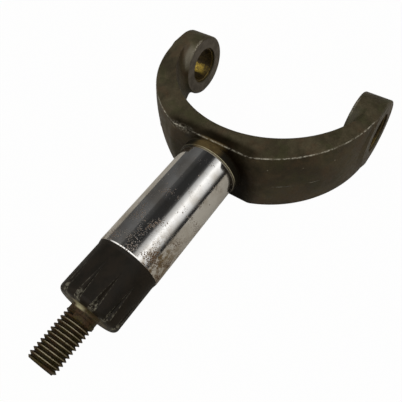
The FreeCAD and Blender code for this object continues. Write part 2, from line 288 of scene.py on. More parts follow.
@dataclass(frozen=True)
class ForgedSkin:
    """Dark, oily forging skin, worn bright along the outer rims, with painted shade on the walls, painted
    highlights at the bosses, and darker places round the shank's root and along the top.
    """

    dark: Colour = (0.034, 0.0270, 0.0140)
    pale: Colour = (0.064, 0.0520, 0.0285)
    brown: Colour = (0.058, 0.0390, 0.0205)
    olive: Colour = (0.038, 0.0365, 0.0150)
    # Worn bright metal, also laid as painted highlight along the bosses' edges and at their roots.
    worn: Colour = (0.40, 0.37, 0.29)
    # The colour that darkens the crown round the shank's root and in a band along the top.
    darkening: Colour = (0.12, 0.095, 0.06)
    # Painted shade: the factor that darkens the walls, which face sideways, against the top and bottom faces.
    wall_shade: Colour = (0.72, 0.67, 0.58)
    golden: Colour = (0.085, 0.058, 0.022)
    roughness: float = 0.46
    cloud_size: float = 24
    tint_size: float = 13
    mottle_size: float = 4.5
    mottle_depth: float = 0.20
    grain_size: float = 0.7
    grain_depth: float = 0.05
    varnish_side: Band = (3, 5, 7)
    varnish_along: Span = (81, 82.6)
    varnish_height: Span = (19.5, 22)
    shank_dark_reach: Span = (50, 34)
    shank_dark_along: Span = (72, 78)
    shank_dark_side: Span = (-26, 4)
    shank_dark_wander: float = 14.0
    top_dark_along: Span = (76, 82)
    top_dark_height: Span = (23, 24)
    top_dark_width: Span = (40, 28)
    top_dark_wander: float = 7.0
    rim_reach: Span = (78, 80)
    rim_along: Span = (4, 22)
    rim_height: Span = (21.5, 22.5)
    crown_corner: Span = (1.0, 0.35)
    boss_depth: Span = (65.4, 64.6)
    boss_highlight_turn: Band = (17, 12, 12)
    scuff_side: Band = (-24, 4, 8)
    scuff_along: Span = (79.5, 82)
    scuff_height: Span = (19.5, 22.5)
    root_highlight_side: Band = (-65.5, 2, 3)
    root_highlight_turn: Band = (42, 12, 18)
    nick_spacing: float = 12

    def build(self) -> bpy.types.Material:
        """Make the material and return it."""
        recipe = Recipe("forged_skin")
        clouds = recipe.noise(self.cloud_size, detail=4)
        mottle = recipe.noise(self.mottle_size, detail=5, rough=0.65)
        grain = recipe.noise(self.grain_size, detail=2)
        tint = recipe.noise(self.tint_size, detail=3)
        colour = recipe.mix(recipe.step(clouds, 0.35, 0.65), self.dark, self.pale)
        colour = recipe.mix(recipe.step(tint, 0.52, 0.66, 0, 0.7), colour, self.brown)
        colour = recipe.mix(recipe.step(tint, 0.48, 0.36, 0, 0.6), colour, self.olive)
        speckle = recipe.times(
            recipe.step(grain, 0.3, 0.7, 0.88, 1.12), recipe.step(mottle, 0.3, 0.7, 0.84, 1.14),
        )
        scaled = recipe.add("ShaderNodeVectorMath", {0: colour, "Scale": speckle}, operation="SCALE")
        # Painted shade: the walls that face sideways are darkened; the top and bottom faces are not.
        upright = recipe.step(recipe.math("ABSOLUTE", recipe.facing_z), 0.75, 0.35)
        colour = recipe.mix(upright, scaled.outputs[0], self.wall_shade, Blend.DARKEN)
        darker_places = self._darker_places(recipe)
        colour = recipe.mix(darker_places, colour, self.darkening, Blend.DARKEN)
        varnish = recipe.times(
            recipe.band(recipe.y, *self.varnish_side),
            recipe.step(recipe.x, *self.varnish_along),
            recipe.step(recipe.z, *self.varnish_height),
            0.75,
        )
        colour = recipe.mix(varnish, colour, self.golden)
        colour = recipe.mix(self._wear_and_highlights(recipe), colour, self.worn)
        rough = recipe.step(mottle, 0.3, 0.7, self.roughness - 0.06, self.roughness + 0.1)
        normal = recipe.relief(mottle, self.mottle_depth)
        normal = recipe.relief(grain, self.grain_depth, normal)
        sheen = recipe.step(darker_places, 0, 1, 0.18, 0.05)
        return recipe.finish(
            Base_Color=colour, Roughness=rough, Normal=normal, Metallic=0.1, Specular_IOR_Level=sheen,
        )

    def _darker_places(self, recipe: Recipe) -> Socket:
        """Return where the crown is darker: round the shank's root, more on the right side, and in a band
        along the top.
        """
        about = recipe.length(recipe.y, recipe.z)
        uneven = recipe.math("MULTIPLY_ADD", recipe.noise(14), self.shank_dark_wander, about)
        near_shank = recipe.times(
            recipe.step(uneven, *self.shank_dark_reach), recipe.step(recipe.x, *self.shank_dark_along),
        )
        right_side = recipe.step(recipe.y, *self.shank_dark_side, 0.25, 1)
        band = recipe.math("MULTIPLY_ADD", recipe.noise(9), self.top_dark_wander, recipe.x)
        along_top = recipe.times(
            recipe.step(band, *self.top_dark_along),
            recipe.step(recipe.z, *self.top_dark_height, 0, 0.8),
            recipe.step(recipe.math("ABSOLUTE", recipe.y), *self.top_dark_width),
        )
        return recipe.math("MINIMUM", recipe.most(recipe.times(near_shank, right_side), along_top), 1.0)

    def _wear_and_highlights(self, recipe: Recipe) -> Socket:
        """Return where the skin is lighter: worn bright on the outer rims, the crown's edges, a scuff and
        some nicks; worn and painted highlight along the bosses' edges, where the light catches them; and a
        painted highlight at the bosses' roots.
        """
        upright = recipe.math("ABSOLUTE", recipe.facing_z)
        height = recipe.math("ABSOLUTE", recipe.z)
        rounded = recipe.times(recipe.step(upright, 0.30, 0.5), recipe.step(upright, 0.95, 0.80))
        from_centre = recipe.math("SUBTRACT", recipe.x, SIZES.outer_centre / MILLIMETRE)
        outwards = recipe.step(recipe.length(from_centre, recipe.y), *self.rim_reach)
        rims = recipe.times(
            rounded, outwards, recipe.step(recipe.x, *self.rim_along), recipe.step(height, *self.rim_height),
        )
        from_face = recipe.math("SUBTRACT", recipe.x, SIZES.crown_face / MILLIMETRE)
        from_top = recipe.math("SUBTRACT", height, SIZES.crown_top / MILLIMETRE)
        crown = recipe.step(recipe.length(from_face, from_top), *self.crown_corner)
        patchy = recipe.step(recipe.noise(11, detail=2), 0.36, 0.56, 0.25, 1)
        broken = recipe.times(recipe.step(recipe.noise(2.0, detail=4, rough=0.7), 0.38, 0.60), patchy)
        about_eye = recipe.length(recipe.x, recipe.z)
        round_eye = recipe.angle(recipe.x, recipe.z)
        # Partly wear, partly painted highlight: the bosses' edges, only round the side where the light
        # catches them.
        boss_wear_and_highlight = recipe.times(
            recipe.band(about_eye, SIZES.boss_radius / MILLIMETRE - 0.4, 0.25, 0.3),
            recipe.step(recipe.math("ABSOLUTE", recipe.y), *self.boss_depth),
            recipe.band(round_eye, *self.boss_highlight_turn),
        )
        speckled = recipe.step(recipe.noise(1.1, detail=4, rough=0.75), 0.42, 0.60)
        scuffed = recipe.times(
            recipe.band(recipe.y, *self.scuff_side),
            recipe.step(recipe.x, *self.scuff_along),
            recipe.step(recipe.z, *self.scuff_height),
            recipe.step(recipe.noise(1.6, detail=5, rough=0.75), 0.46, 0.62),
        )
        # Painted highlight: a pale band at the bosses' roots, where the light catches them.
        root_highlight = recipe.times(
            recipe.band(about_eye, SIZES.boss_radius / MILLIMETRE - 0.3, 0.8, 1.2),
            recipe.band(recipe.y, *self.root_highlight_side),
            recipe.band(round_eye, *self.root_highlight_turn),
        )
        nicks = recipe.times(
            recipe.step(recipe.spots(self.nick_spacing), 0.050, 0.025),
            recipe.step(upright, 0.5, 0.2),
            outwards,
        )
        return recipe.most(
            recipe.times(recipe.most(rims, crown), broken, 0.8),
            recipe.times(boss_wear_and_highlight, speckled, 0.6),
            recipe.times(scuffed, 0.35),
            recipe.times(root_highlight, 0.16),
            recipe.times(nicks, 0.3),
        )


@dataclass(frozen=True)
class TurnedFace:
    """The machined face round the inner mouth of each eye: fine turned rings, and oil at the bush."""

    pale: Colour = (0.098, 0.082, 0.062)
    dark: Colour = (0.052, 0.042, 0.029)
    roughness: float = 0.42
    ring_spacing: float = 0.55
    ring_depth: float = 0.012
    patch_size: float = 6
    oily_mouth: Span = (15.4, 14.5)

    def build(self) -> bpy.types.Material:
        """Make the material and return it."""
        recipe = Recipe("turned_face")
        radius = recipe.length(recipe.x, recipe.z)
        wave = recipe.math("SINE", recipe.times(radius, 2 * math.pi / self.ring_spacing))
        patches = recipe.noise(self.patch_size, detail=5, rough=0.6)
        colour = recipe.mix(recipe.step(patches, 0.35, 0.68), self.pale, self.dark)
        uneven = recipe.math("MULTIPLY_ADD", recipe.noise(1.5), 0.8, radius)
        mouth = recipe.step(uneven, *self.oily_mouth)
        colour = recipe.mix(recipe.times(mouth, 0.7), colour, PorousBronze.oil)
        normal = recipe.relief(recipe.step(wave, -1, 1), self.ring_depth)
        return recipe.finish(
            Base_Color=colour, Roughness=self.roughness, Metallic=0.35, Normal=normal, Specular_IOR_Level=0.3,
        )


@dataclass(frozen=True)
class OiledCollar:
    """The collar: golden brown on top and nearly black below, from old oil and painted shade, with painted
    highlights on its front corner and on the fillet in front.
    """

    golden: Colour = (0.085, 0.058, 0.022)
    dark: Colour = (0.010, 0.008, 0.0045)
    # Painted highlight on the front corner.
    bright: Colour = (0.40, 0.36, 0.23)
    # Painted highlight on the fillet in front.
    root: Colour = (0.150, 0.132, 0.100)
    roughness: float = 0.46
    patch_size: float = 4
    golden_turn: Band = (2, 16, 16)
    root_highlight_along: Span = (88.75, 89.1)
    root_highlight_turn: Span = (-22, 0)
    metal_along: Span = (88.7, 89.1)
    corner_reach: Span = (0.42, 0.20)
    highlight_from: Span = (-18, 6)
    highlight_to: Span = (96, 70)

    def build(self) -> bpy.types.Material:
        """Make the material and return it."""
        recipe = Recipe("oiled_collar")
        turn = recipe.angle(recipe.y, recipe.z)
        patches = recipe.noise(self.patch_size, detail=4, rough=0.6)
        golden = recipe.times(
            recipe.band(turn, *self.golden_turn), recipe.step(patches, 0.3, 0.6, 0.55, 1),
        )
        # Golden brown on top, nearly black round the rest: old oil, and painted shade below.
        colour = recipe.mix(golden, self.dark, self.golden)
        # Painted highlight: the fillet in front, pale except on its left side.
        root = recipe.times(
            recipe.step(recipe.x, *self.root_highlight_along), recipe.step(turn, *self.root_highlight_turn, 0.1, 1),
        )
        colour = recipe.mix(root, colour, self.root)
        # Painted highlight: a bright line on the front corner, over the top and down the right side.
        corner = recipe.length(
            recipe.math("SUBTRACT", recipe.x, SIZES.collar_front / MILLIMETRE),
            recipe.math("SUBTRACT", recipe.length(recipe.y, recipe.z), SIZES.collar_radius / MILLIMETRE),
        )
        edge = recipe.times(
            recipe.step(corner, *self.corner_reach),
            recipe.step(turn, *self.highlight_from, 0.15, 1),
            recipe.step(patches, 0.2, 0.45, 0.5, 1),
            recipe.step(turn, *self.highlight_to),
        )
        colour = recipe.mix(edge, colour, self.bright)
        normal = recipe.relief(recipe.noise(0.8, detail=3), 0.02)
        metal = recipe.step(recipe.x, *self.metal_along, 0.1, 0.8)
        return recipe.finish(
            Base_Color=colour,
            Roughness=self.roughness,
            Metallic=metal,
            Normal=normal,
            Specular_IOR_Level=0.12,
        )


@dataclass(frozen=True)
class GroundSteel:
    """The polished journal: clean ground steel with rust pits, thicker and smeared towards the seat."""

    steel: Colour = (0.62, 0.61, 0.59)
    tarnish: Colour = (0.47, 0.44, 0.395)
    smear: Colour = (0.20, 0.145, 0.075)
    rust: Colour = (0.095, 0.056, 0.028)
    roughness: float = 0.085
    cloud_size: float = 16
    patch_size: float = 9
    smear_size: float = 3.2
    smear_along: Span = (138, 164)
    smear_turn: Span = (26, 58)
    pit_spacing: float = 0.8
    pit_depth: float = 0.012
    pit_along: Span = (98, 170)
    right_pit_along: Span = (148, 168)
    right_pit_turn: Span = (22, 50)
    lone_pit_spacing: float = 5.5
    line_size: float = 0.35
    line_depth: float = 0.0025

    def build(self) -> bpy.types.Material:
        """Make the material and return it."""
        recipe = Recipe("ground_steel")
        cloud = recipe.noise(self.cloud_size, detail=4)
        colour = recipe.mix(recipe.step(cloud, 0.42, 0.7), self.steel, self.tarnish)
        turn = recipe.angle(recipe.y, recipe.z)
        smears = self._smears(recipe, turn)
        colour = recipe.mix(smears, colour, self.smear)
        pits = self._pits(recipe, turn)
        colour = recipe.mix(pits, colour, self.rust)
        rough = recipe.math("MULTIPLY_ADD", pits, 0.45, self.roughness)
        rough = recipe.math("MULTIPLY_ADD", smears, 0.22, rough)
        rough = recipe.math("ADD", rough, recipe.step(cloud, 0.4, 0.7, 0, 0.05))
        lines = recipe.noise(self.line_size, detail=2, place=recipe.stretched(1, 0.03, 0.03))
        normal = recipe.relief(lines, self.line_depth)
        normal = recipe.relief(recipe.math("SUBTRACT", 1.0, pits), self.pit_depth, normal)
        metal = recipe.step(pits, 0, 1, 1, 0.35)
        return recipe.finish(Base_Color=colour, Roughness=rough, Metallic=metal, Normal=normal)

    def _smears(self, recipe: Recipe, turn: Socket) -> Socket:
        """Return where rust is smeared: near the seat, and mostly on the right side."""
        cloudy = recipe.noise(self.smear_size, detail=5, rough=0.7, place=recipe.stretched(0.7, 1.0, 1.0))
        return recipe.times(
            recipe.step(cloudy, 0.42, 0.60),
            recipe.step(recipe.x, *self.smear_along),
            recipe.step(turn, *self.smear_turn, 0.15, 1),
        )

    def _pits(self, recipe: Recipe, turn: Socket) -> Socket:
        """Return where the rust pits are: in patches that crowd towards the seat, and a few alone."""
        towards_seat = recipe.step(recipe.x, *self.pit_along)
        patch = recipe.noise(self.patch_size, detail=3)
        crowd = recipe.math("MULTIPLY_ADD", towards_seat, 0.13, recipe.math("SUBTRACT", patch, 0.63))
        right_side = recipe.times(
            recipe.step(turn, *self.right_pit_turn), recipe.step(recipe.x, *self.right_pit_along), 0.10,
        )
        crowd = recipe.math("ADD", crowd, right_side)
        pits = recipe.math("ADD", recipe.times(recipe.spots(self.pit_spacing), -0.5), crowd)
        fine = recipe.noise(0.7, detail=4, rough=0.7)
        pits = recipe.step(recipe.math("MULTIPLY_ADD", fine, 0.35, pits), 0.02, 0.09)
        few = recipe.times(
            recipe.step(recipe.spots(self.lone_pit_spacing), 0.11, 0.06), recipe.step(fine, 0.4, 0.5),
        )
        return recipe.most(pits, few)


@dataclass(frozen=True)
class BlackenedSeat:
    """The seat: blackened dull steel, with thin worn lines along the flutes and brighter flute ends."""

    black: Colour = (0.0080, 0.0062, 0.0036)
    brown: Colour = (0.0135, 0.0098, 0.0060)
    worn: Colour = (0.155, 0.142, 0.105)
    hub_dark: Colour = (0.026, 0.020, 0.007)
    roughness: float = 0.50
    cloud_size: float = 8
    grain_size: float = 1.2
    grain_depth: float = 0.05
    hub_dark_reach: Span = (16.5, 13.0)
    line_half: Span = (0.30, 0.06)
    line_start: float = 8
    end_along: Span = (201, 205)

    def build(self) -> bpy.types.Material:
        """Make the material and return it."""
        recipe = Recipe("blackened_seat")
        cloud = recipe.noise(self.cloud_size, detail=4, rough=0.55)
        colour = recipe.mix(recipe.step(cloud, 0.36, 0.66), self.black, self.brown)
        colour = recipe.mix(self._flute_edges(recipe), colour, self.worn)
        # Darker on the end face round the neck.
        radius = recipe.length(recipe.y, recipe.z)
        uneven = recipe.math("MULTIPLY_ADD", recipe.noise(2.5, detail=4), 4.0, radius)
        colour = recipe.mix(recipe.times(recipe.step(uneven, *self.hub_dark_reach), 0.9), colour, self.hub_dark)
        rough = recipe.step(cloud, 0.3, 0.7, self.roughness - 0.05, self.roughness + 0.12)
        normal = recipe.relief(recipe.noise(self.grain_size, detail=4), self.grain_depth)
        return recipe.finish(
            Base_Color=colour, Roughness=rough, Metallic=0.1, Normal=normal, Specular_IOR_Level=0.12,
        )

    def _flute_edges(self, recipe: Recipe) -> Socket:
        """Return where the flutes' edges and ends are worn."""
        flute_turn = 2 * math.pi / SIZES.flute_count
        turn = recipe.math("DIVIDE", recipe.math("ARCTAN2", recipe.y, recipe.z), flute_turn)
        share = recipe.math("SUBTRACT", turn, recipe.math("ROUND", turn))
        radius = SIZES.seat_radius / MILLIMETRE
        across = recipe.times(recipe.math("ABSOLUTE", share), 2 * math.pi * radius / SIZES.flute_count)
        start, end = SIZES.flute_start / MILLIMETRE, SIZES.flute_end / MILLIMETRE
        half = SIZES.flute_width / MILLIMETRE / 2
        edge = recipe.add(
            "ShaderNodeMapRange",
            {"Value": recipe.x, "From Min": start, "From Max": end, "To Min": 0.0, "To Max": half},
        ).outputs["Result"]
        away = recipe.math("SUBTRACT", across, edge)
        lines = recipe.times(
            recipe.step(recipe.math("ABSOLUTE", away), *self.line_half),
            recipe.step(recipe.x, start, start + self.line_start),
        )
        towards_end = recipe.step(recipe.x, start + 4, end - 2, 0.25, 0.8)
        scratches = recipe.step(recipe.noise(1.7, detail=5, rough=0.7), 0.44, 0.62)
        ends = recipe.times(
            recipe.step(away, 0.3, -0.3), recipe.step(recipe.x, *self.end_along), scratches, 0.9,
        )
        return recipe.most(recipe.times(lines, towards_end, scratches), ends)


@dataclass(frozen=True)
class GrimySteel:
    """The plain neck and the thread: brown with old grease; some crests worn bright and part of the neck
    clean, both with painted highlight on the upper side.
    """

    grease: Colour = (0.0120, 0.0085, 0.0026)
    brown: Colour = (0.050, 0.027, 0.0120)
    olive: Colour = (0.046, 0.035, 0.0100)
    crest_wear_and_highlight: Colour = (0.24, 0.21, 0.14)
    clean_and_lit_neck: Colour = (0.30, 0.27, 0.16)
    roughness: float = 0.42
    cloud_size: float = 3.5
    fleck_size: float = 1.1
    tint_size: float = 6
    grain_depth: float = 0.05
    flank_reach: Span = (7.7, 8.7)
    crest_reach: Span = (9.43, 9.51)
    crest_along: Span = (215.6, 217)
    crest_highlight_turn: Band = (32, 36, 26)
    clean_and_lit_turn: Span = (46, 12)
    clean_and_lit_wander: float = 30.0
    neck_along: Band = (209.4, 0.6, 0.5)
    neck_highlight_turn: Span = (-30, -8)

    def build(self) -> bpy.types.Material:
        """Make the material and return it."""
        recipe = Recipe("grimy_thread")
        cloud = recipe.noise(self.cloud_size, detail=5, rough=0.65)
        fleck = recipe.noise(self.fleck_size, detail=4, rough=0.7)
        tint = recipe.noise(self.tint_size, detail=3)
        brown = recipe.mix(recipe.step(tint, 0.42, 0.6), self.brown, self.olive)
        radius = recipe.length(recipe.y, recipe.z)
        flanks = recipe.times(recipe.step(radius, *self.flank_reach), recipe.step(fleck, 0.34, 0.58))
        colour = recipe.mix(flanks, self.grease, brown)
        turn = recipe.angle(recipe.y, recipe.z)
        # Partly wear, partly painted highlight: the crests, only in a band round the upper side.
        crest_wear_and_highlight = recipe.times(
            recipe.step(radius, *self.crest_reach),
            recipe.step(recipe.x, *self.crest_along),
            recipe.step(fleck, 0.30, 0.46),
            recipe.band(turn, *self.crest_highlight_turn),
        )
        colour = recipe.mix(crest_wear_and_highlight, colour, self.crest_wear_and_highlight)
        # Partly clean metal, partly painted highlight: the neck, on its upper side.
        clean_and_lit = recipe.step(recipe.math("MULTIPLY_ADD", cloud, self.clean_and_lit_wander, turn), *self.clean_and_lit_turn)
        clean_and_lit_neck = recipe.times(
            recipe.band(recipe.x, *self.neck_along),
            recipe.most(clean_and_lit, 0.06),
            recipe.step(turn, *self.neck_highlight_turn),
        )
        colour = recipe.mix(clean_and_lit_neck, colour, self.clean_and_lit_neck)
        rough = recipe.step(cloud, 0.3, 0.7, self.roughness - 0.06, self.roughness + 0.1)
        metal = recipe.math("MULTIPLY_ADD", crest_wear_and_highlight, 0.65, 0.1)
        normal = recipe.relief(recipe.noise(0.9, detail=4), self.grain_depth)
        return recipe.finish(
            Base_Color=colour, Roughness=rough, Metallic=metal, Normal=normal, Specular_IOR_Level=0.12,
        )


@dataclass(frozen=True)
class FlashMetal:
    """The flash's remains: the forging's skin, rubbed a little brighter along the peak."""

    skin: Colour = (0.034, 0.029, 0.018)
    rubbed: Colour = (0.13, 0.118, 0.085)
    roughness: float = 0.42
    peak_half: Span = (0.35, 0.12)
    grain_depth: float = 0.04

    def build(self) -> bpy.types.Material:
        """Make the material and return it."""
        recipe = Recipe("flash_metal")
        off_peak = recipe.math("ABSOLUTE", recipe.math("ADD", recipe.z, PartingFlash.drop / MILLIMETRE))
        peak = recipe.step(off_peak, *self.peak_half)
        rubbed = recipe.times(peak, recipe.step(recipe.noise(2.5, detail=4, rough=0.7), 0.42, 0.6))
        colour = recipe.mix(rubbed, self.skin, self.rubbed)
        normal = recipe.relief(recipe.noise(0.6, detail=3), self.grain_depth)
        return recipe.finish(
            Base_Color=colour, Roughness=self.roughness, Metallic=0.2, Normal=normal, Specular_IOR_Level=0.25,
        )


@dataclass(frozen=True)
class PorousBronze:
    """A bush: bronze varnished dark brown by oil, with dark pores and one stretch of painted reflection in
    bright bronze.
    """

    # Where round the bore the painted reflection lies, from the tip towards the underside, and half its
    # width.
    highlight_at: float
    highlight_half: float
    # Where along Y the bush's right-hand mouth is, near which the painted reflection fades.
    mouth: float
    bronze: Colour = (0.36, 0.245, 0.035)
    varnish: Colour = (0.058, 0.038, 0.012)
    oil: Colour = (0.018, 0.012, 0.005)
    roughness: float = 0.40
    patch_size: float = 3.2
    highlight_wander: float = 46.0
    highlight_fade: float = 7
    mouth_fade: Span = (3, 12)
    rim_reach: Span = (12.55, 12.9)
    pore_spacing: float = 1.9
    pore_depth: float = 0.06

    def build(self) -> bpy.types.Material:
        """Make the material and return it."""
        recipe = Recipe("porous_bronze")
        around = recipe.angle(recipe.times(recipe.z, -1.0), recipe.times(recipe.x, -1.0))
        patches = recipe.noise(self.patch_size, detail=5, rough=0.65)
        off_middle = recipe.math("SUBTRACT", patches, 0.5)
        wavy = recipe.math("MULTIPLY_ADD", off_middle, self.highlight_wander, around)
        near, far = self.mouth_fade
        # Painted reflection: a stretch of bright bronze round the bore, fading near the right-hand mouth.
        bright = recipe.times(
            recipe.band(wavy, self.highlight_at, self.highlight_half, self.highlight_fade),
            recipe.step(recipe.noise(1.6, detail=4, rough=0.65), 0.36, 0.56, 0.1, 1),
            recipe.step(recipe.y, self.mouth - near, self.mouth - far, 0.15, 1),
        )
        colour = recipe.mix(recipe.step(patches, 0.35, 0.7), self.varnish, self.oil)
        rims = recipe.step(recipe.length(recipe.x, recipe.z), *self.rim_reach)
        rims = recipe.times(rims, recipe.step(patches, 0.35, 0.65, 0, 0.22))
        colour = recipe.mix(rims, colour, self.bronze)
        colour = recipe.mix(bright, colour, self.bronze)
        pores = recipe.step(recipe.spots(self.pore_spacing), 0.24, 0.13)
        colour = recipe.mix(recipe.times(pores, 0.9), colour, self.oil)
        normal = recipe.relief(recipe.math("SUBTRACT", 1.0, pores), self.pore_depth)
        rough = recipe.math("MULTIPLY_ADD", pores, 0.25, self.roughness)
        return recipe.finish(
            Base_Color=colour, Roughness=rough, Metallic=0.6, Normal=normal, Specular_IOR_Level=0.25,
        )


def select_only(piece: Piece) -> None:
    """Make a piece the only selected one, and the active one."""
    bpy.ops.object.select_all(action="DESELECT")
    piece.select_set(True)
    bpy.context.view_layer.objects.active = piece


def merged_copy(node: str, name: str) -> Piece:
    """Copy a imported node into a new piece, with its loose triangles merged.

    Merging turns the corners' normals a little, so they are kept in an attribute for restore_normals.

    Args:
        node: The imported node.
        name: The new piece's name.

    Returns:
        The new piece.
    """
    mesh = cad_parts[node].data.copy()
    mesh.materials.clear()
    kept = mesh.attributes.new(KEPT_NORMALS, "FLOAT_VECTOR", "CORNER")
    for corner, normal in zip(kept.data, mesh.corner_normals):
        corner.vector = normal.vector
    piece = bpy.data.objects.new(name, mesh)
    bpy.context.scene.collection.objects.link(piece)
    select_only(piece)
    bpy.ops.object.mode_set(mode="EDIT")
    bpy.ops.mesh.select_all(action="SELECT")
    bpy.ops.mesh.remove_doubles(threshold=MERGE_DISTANCE)
    bpy.ops.object.mode_set(mode="OBJECT")
    return piece


def cut_square(piece: Piece, at: float, keep_before: bool) -> None:
    """Cut a piece square to the shank and close the cut.

    Args:
        piece: The piece.
        at: Where to cut along the shank.
        keep_before: Whether the side towards the eyes stays.
    """
    select_only(piece)
    bpy.ops.object.mode_set(mode="EDIT")
    bpy.ops.mesh.select_all(action="SELECT")
    bpy.ops.mesh.bisect(
        plane_co=(at, 0, 0),
        plane_no=(1, 0, 0),
        use_fill=True,
        clear_outer=keep_before,
        clear_inner=not keep_before,
    )
    bpy.ops.object.mode_set(mode="OBJECT")


def restore_normals(piece: Piece) -> None:
    """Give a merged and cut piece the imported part's normals again, and flat ones on its cuts."""
    mesh = piece.data
    kept = mesh.attributes[KEPT_NORMALS].data
    normals = []
    for face in mesh.polygons:
        for corner in face.loop_indices:
            normal = Vector(kept[corner].vector)
            holds = normal.dot(face.normal) > LEAST_AGREEMENT
            normals.append(normal.normalized() if holds else Vector(face.normal))
    mesh.attributes.remove(mesh.attributes[KEPT_NORMALS])
    mesh.normals_split_custom_set(normals)


def hand_over(piece: Piece, slot: str, *nodes: str) -> Piece:
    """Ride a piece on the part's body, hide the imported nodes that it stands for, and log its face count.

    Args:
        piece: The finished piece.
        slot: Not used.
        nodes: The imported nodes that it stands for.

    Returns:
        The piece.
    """
    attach(piece, "root")
    if nodes:
        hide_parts(*nodes)
    log.info("%s: %d faces", piece.name, len(piece.data.polygons))
    return piece


@dataclass
class Forging:
    """The yoke, with its eyes, its crown and the root of its collar."""

    face_depth: float = 0.0633
    face_slack: float = 0.00005

    def build(self) -> Piece:
        """Build the forging and return it."""
        piece = merged_copy("fork", "forging")
        cut_square(piece, SIZES.collar_root_end, keep_before=True)
        restore_normals(piece)
        self._dress(piece)
        return hand_over(piece, "forged_steel", "fork")

    def _dress(self, piece: Piece) -> None:
        """Give the eyes' inner faces a turned finish and everything else the forged skin."""
        piece.data.materials.append(ForgedSkin().build())
        piece.data.materials.append(TurnedFace().build())
        for face in piece.data.polygons:
            centre = face.center
            depth = abs(centre.y)
            inwards = centre.y * face.normal.y < 0
            on_boss = math.hypot(centre.x, centre.z) < SIZES.boss_radius
            face.material_index = int(inwards and on_boss and depth < self.face_depth + self.face_slack)


@dataclass
class Shank:
    """The turned and ground shank: the collar, the journal, the fluted seat and the threaded stud."""

    def build(self) -> list[Piece]:
        """Build the four lengths of the shank and return them."""
        spans = {
            "collar": (SIZES.collar_root_end, SIZES.journal_start, OiledCollar().build()),
            "journal": (SIZES.journal_start, SIZES.seat_start, GroundSteel().build()),
            "fluted_seat": (SIZES.seat_start, SIZES.neck_start, BlackenedSeat().build()),
            "threaded_stud": (SIZES.neck_start, None, GrimySteel().build()),
        }
        pieces = []
        for name, (start, end, finish) in spans.items():
            piece = merged_copy("fork", name)
            cut_square(piece, start, keep_before=False)
            if end:
                cut_square(piece, end, keep_before=True)
            restore_normals(piece)
            piece.data.materials.append(finish)
            pieces.append(hand_over(piece, "forged_steel", "fork"))
        return pieces


@dataclass
class EyeBushes:
    """The bronze bush in each eye."""

    # For each side, what PorousBronze needs: the painted reflection's place and half width, in degrees, and
    # the right-hand mouth, in millimetres.
    bright: tuple[tuple[str, float, float, float], ...] = (("left", 62, 14, -63), ("right", 80, 15, 83))

    def build(self) -> list[Piece]:
        """Build both bushes and return them."""
        pieces = []
        for side, middle, half, mouth in self.bright:
            piece = merged_copy(f"bush_{side}", f"bush_{side}_bronze")
            restore_normals(piece)
            piece.data.materials.append(PorousBronze(middle, half, mouth).build())
            pieces.append(hand_over(piece, "bush_bronze", f"bush_{side}"))
        return pieces


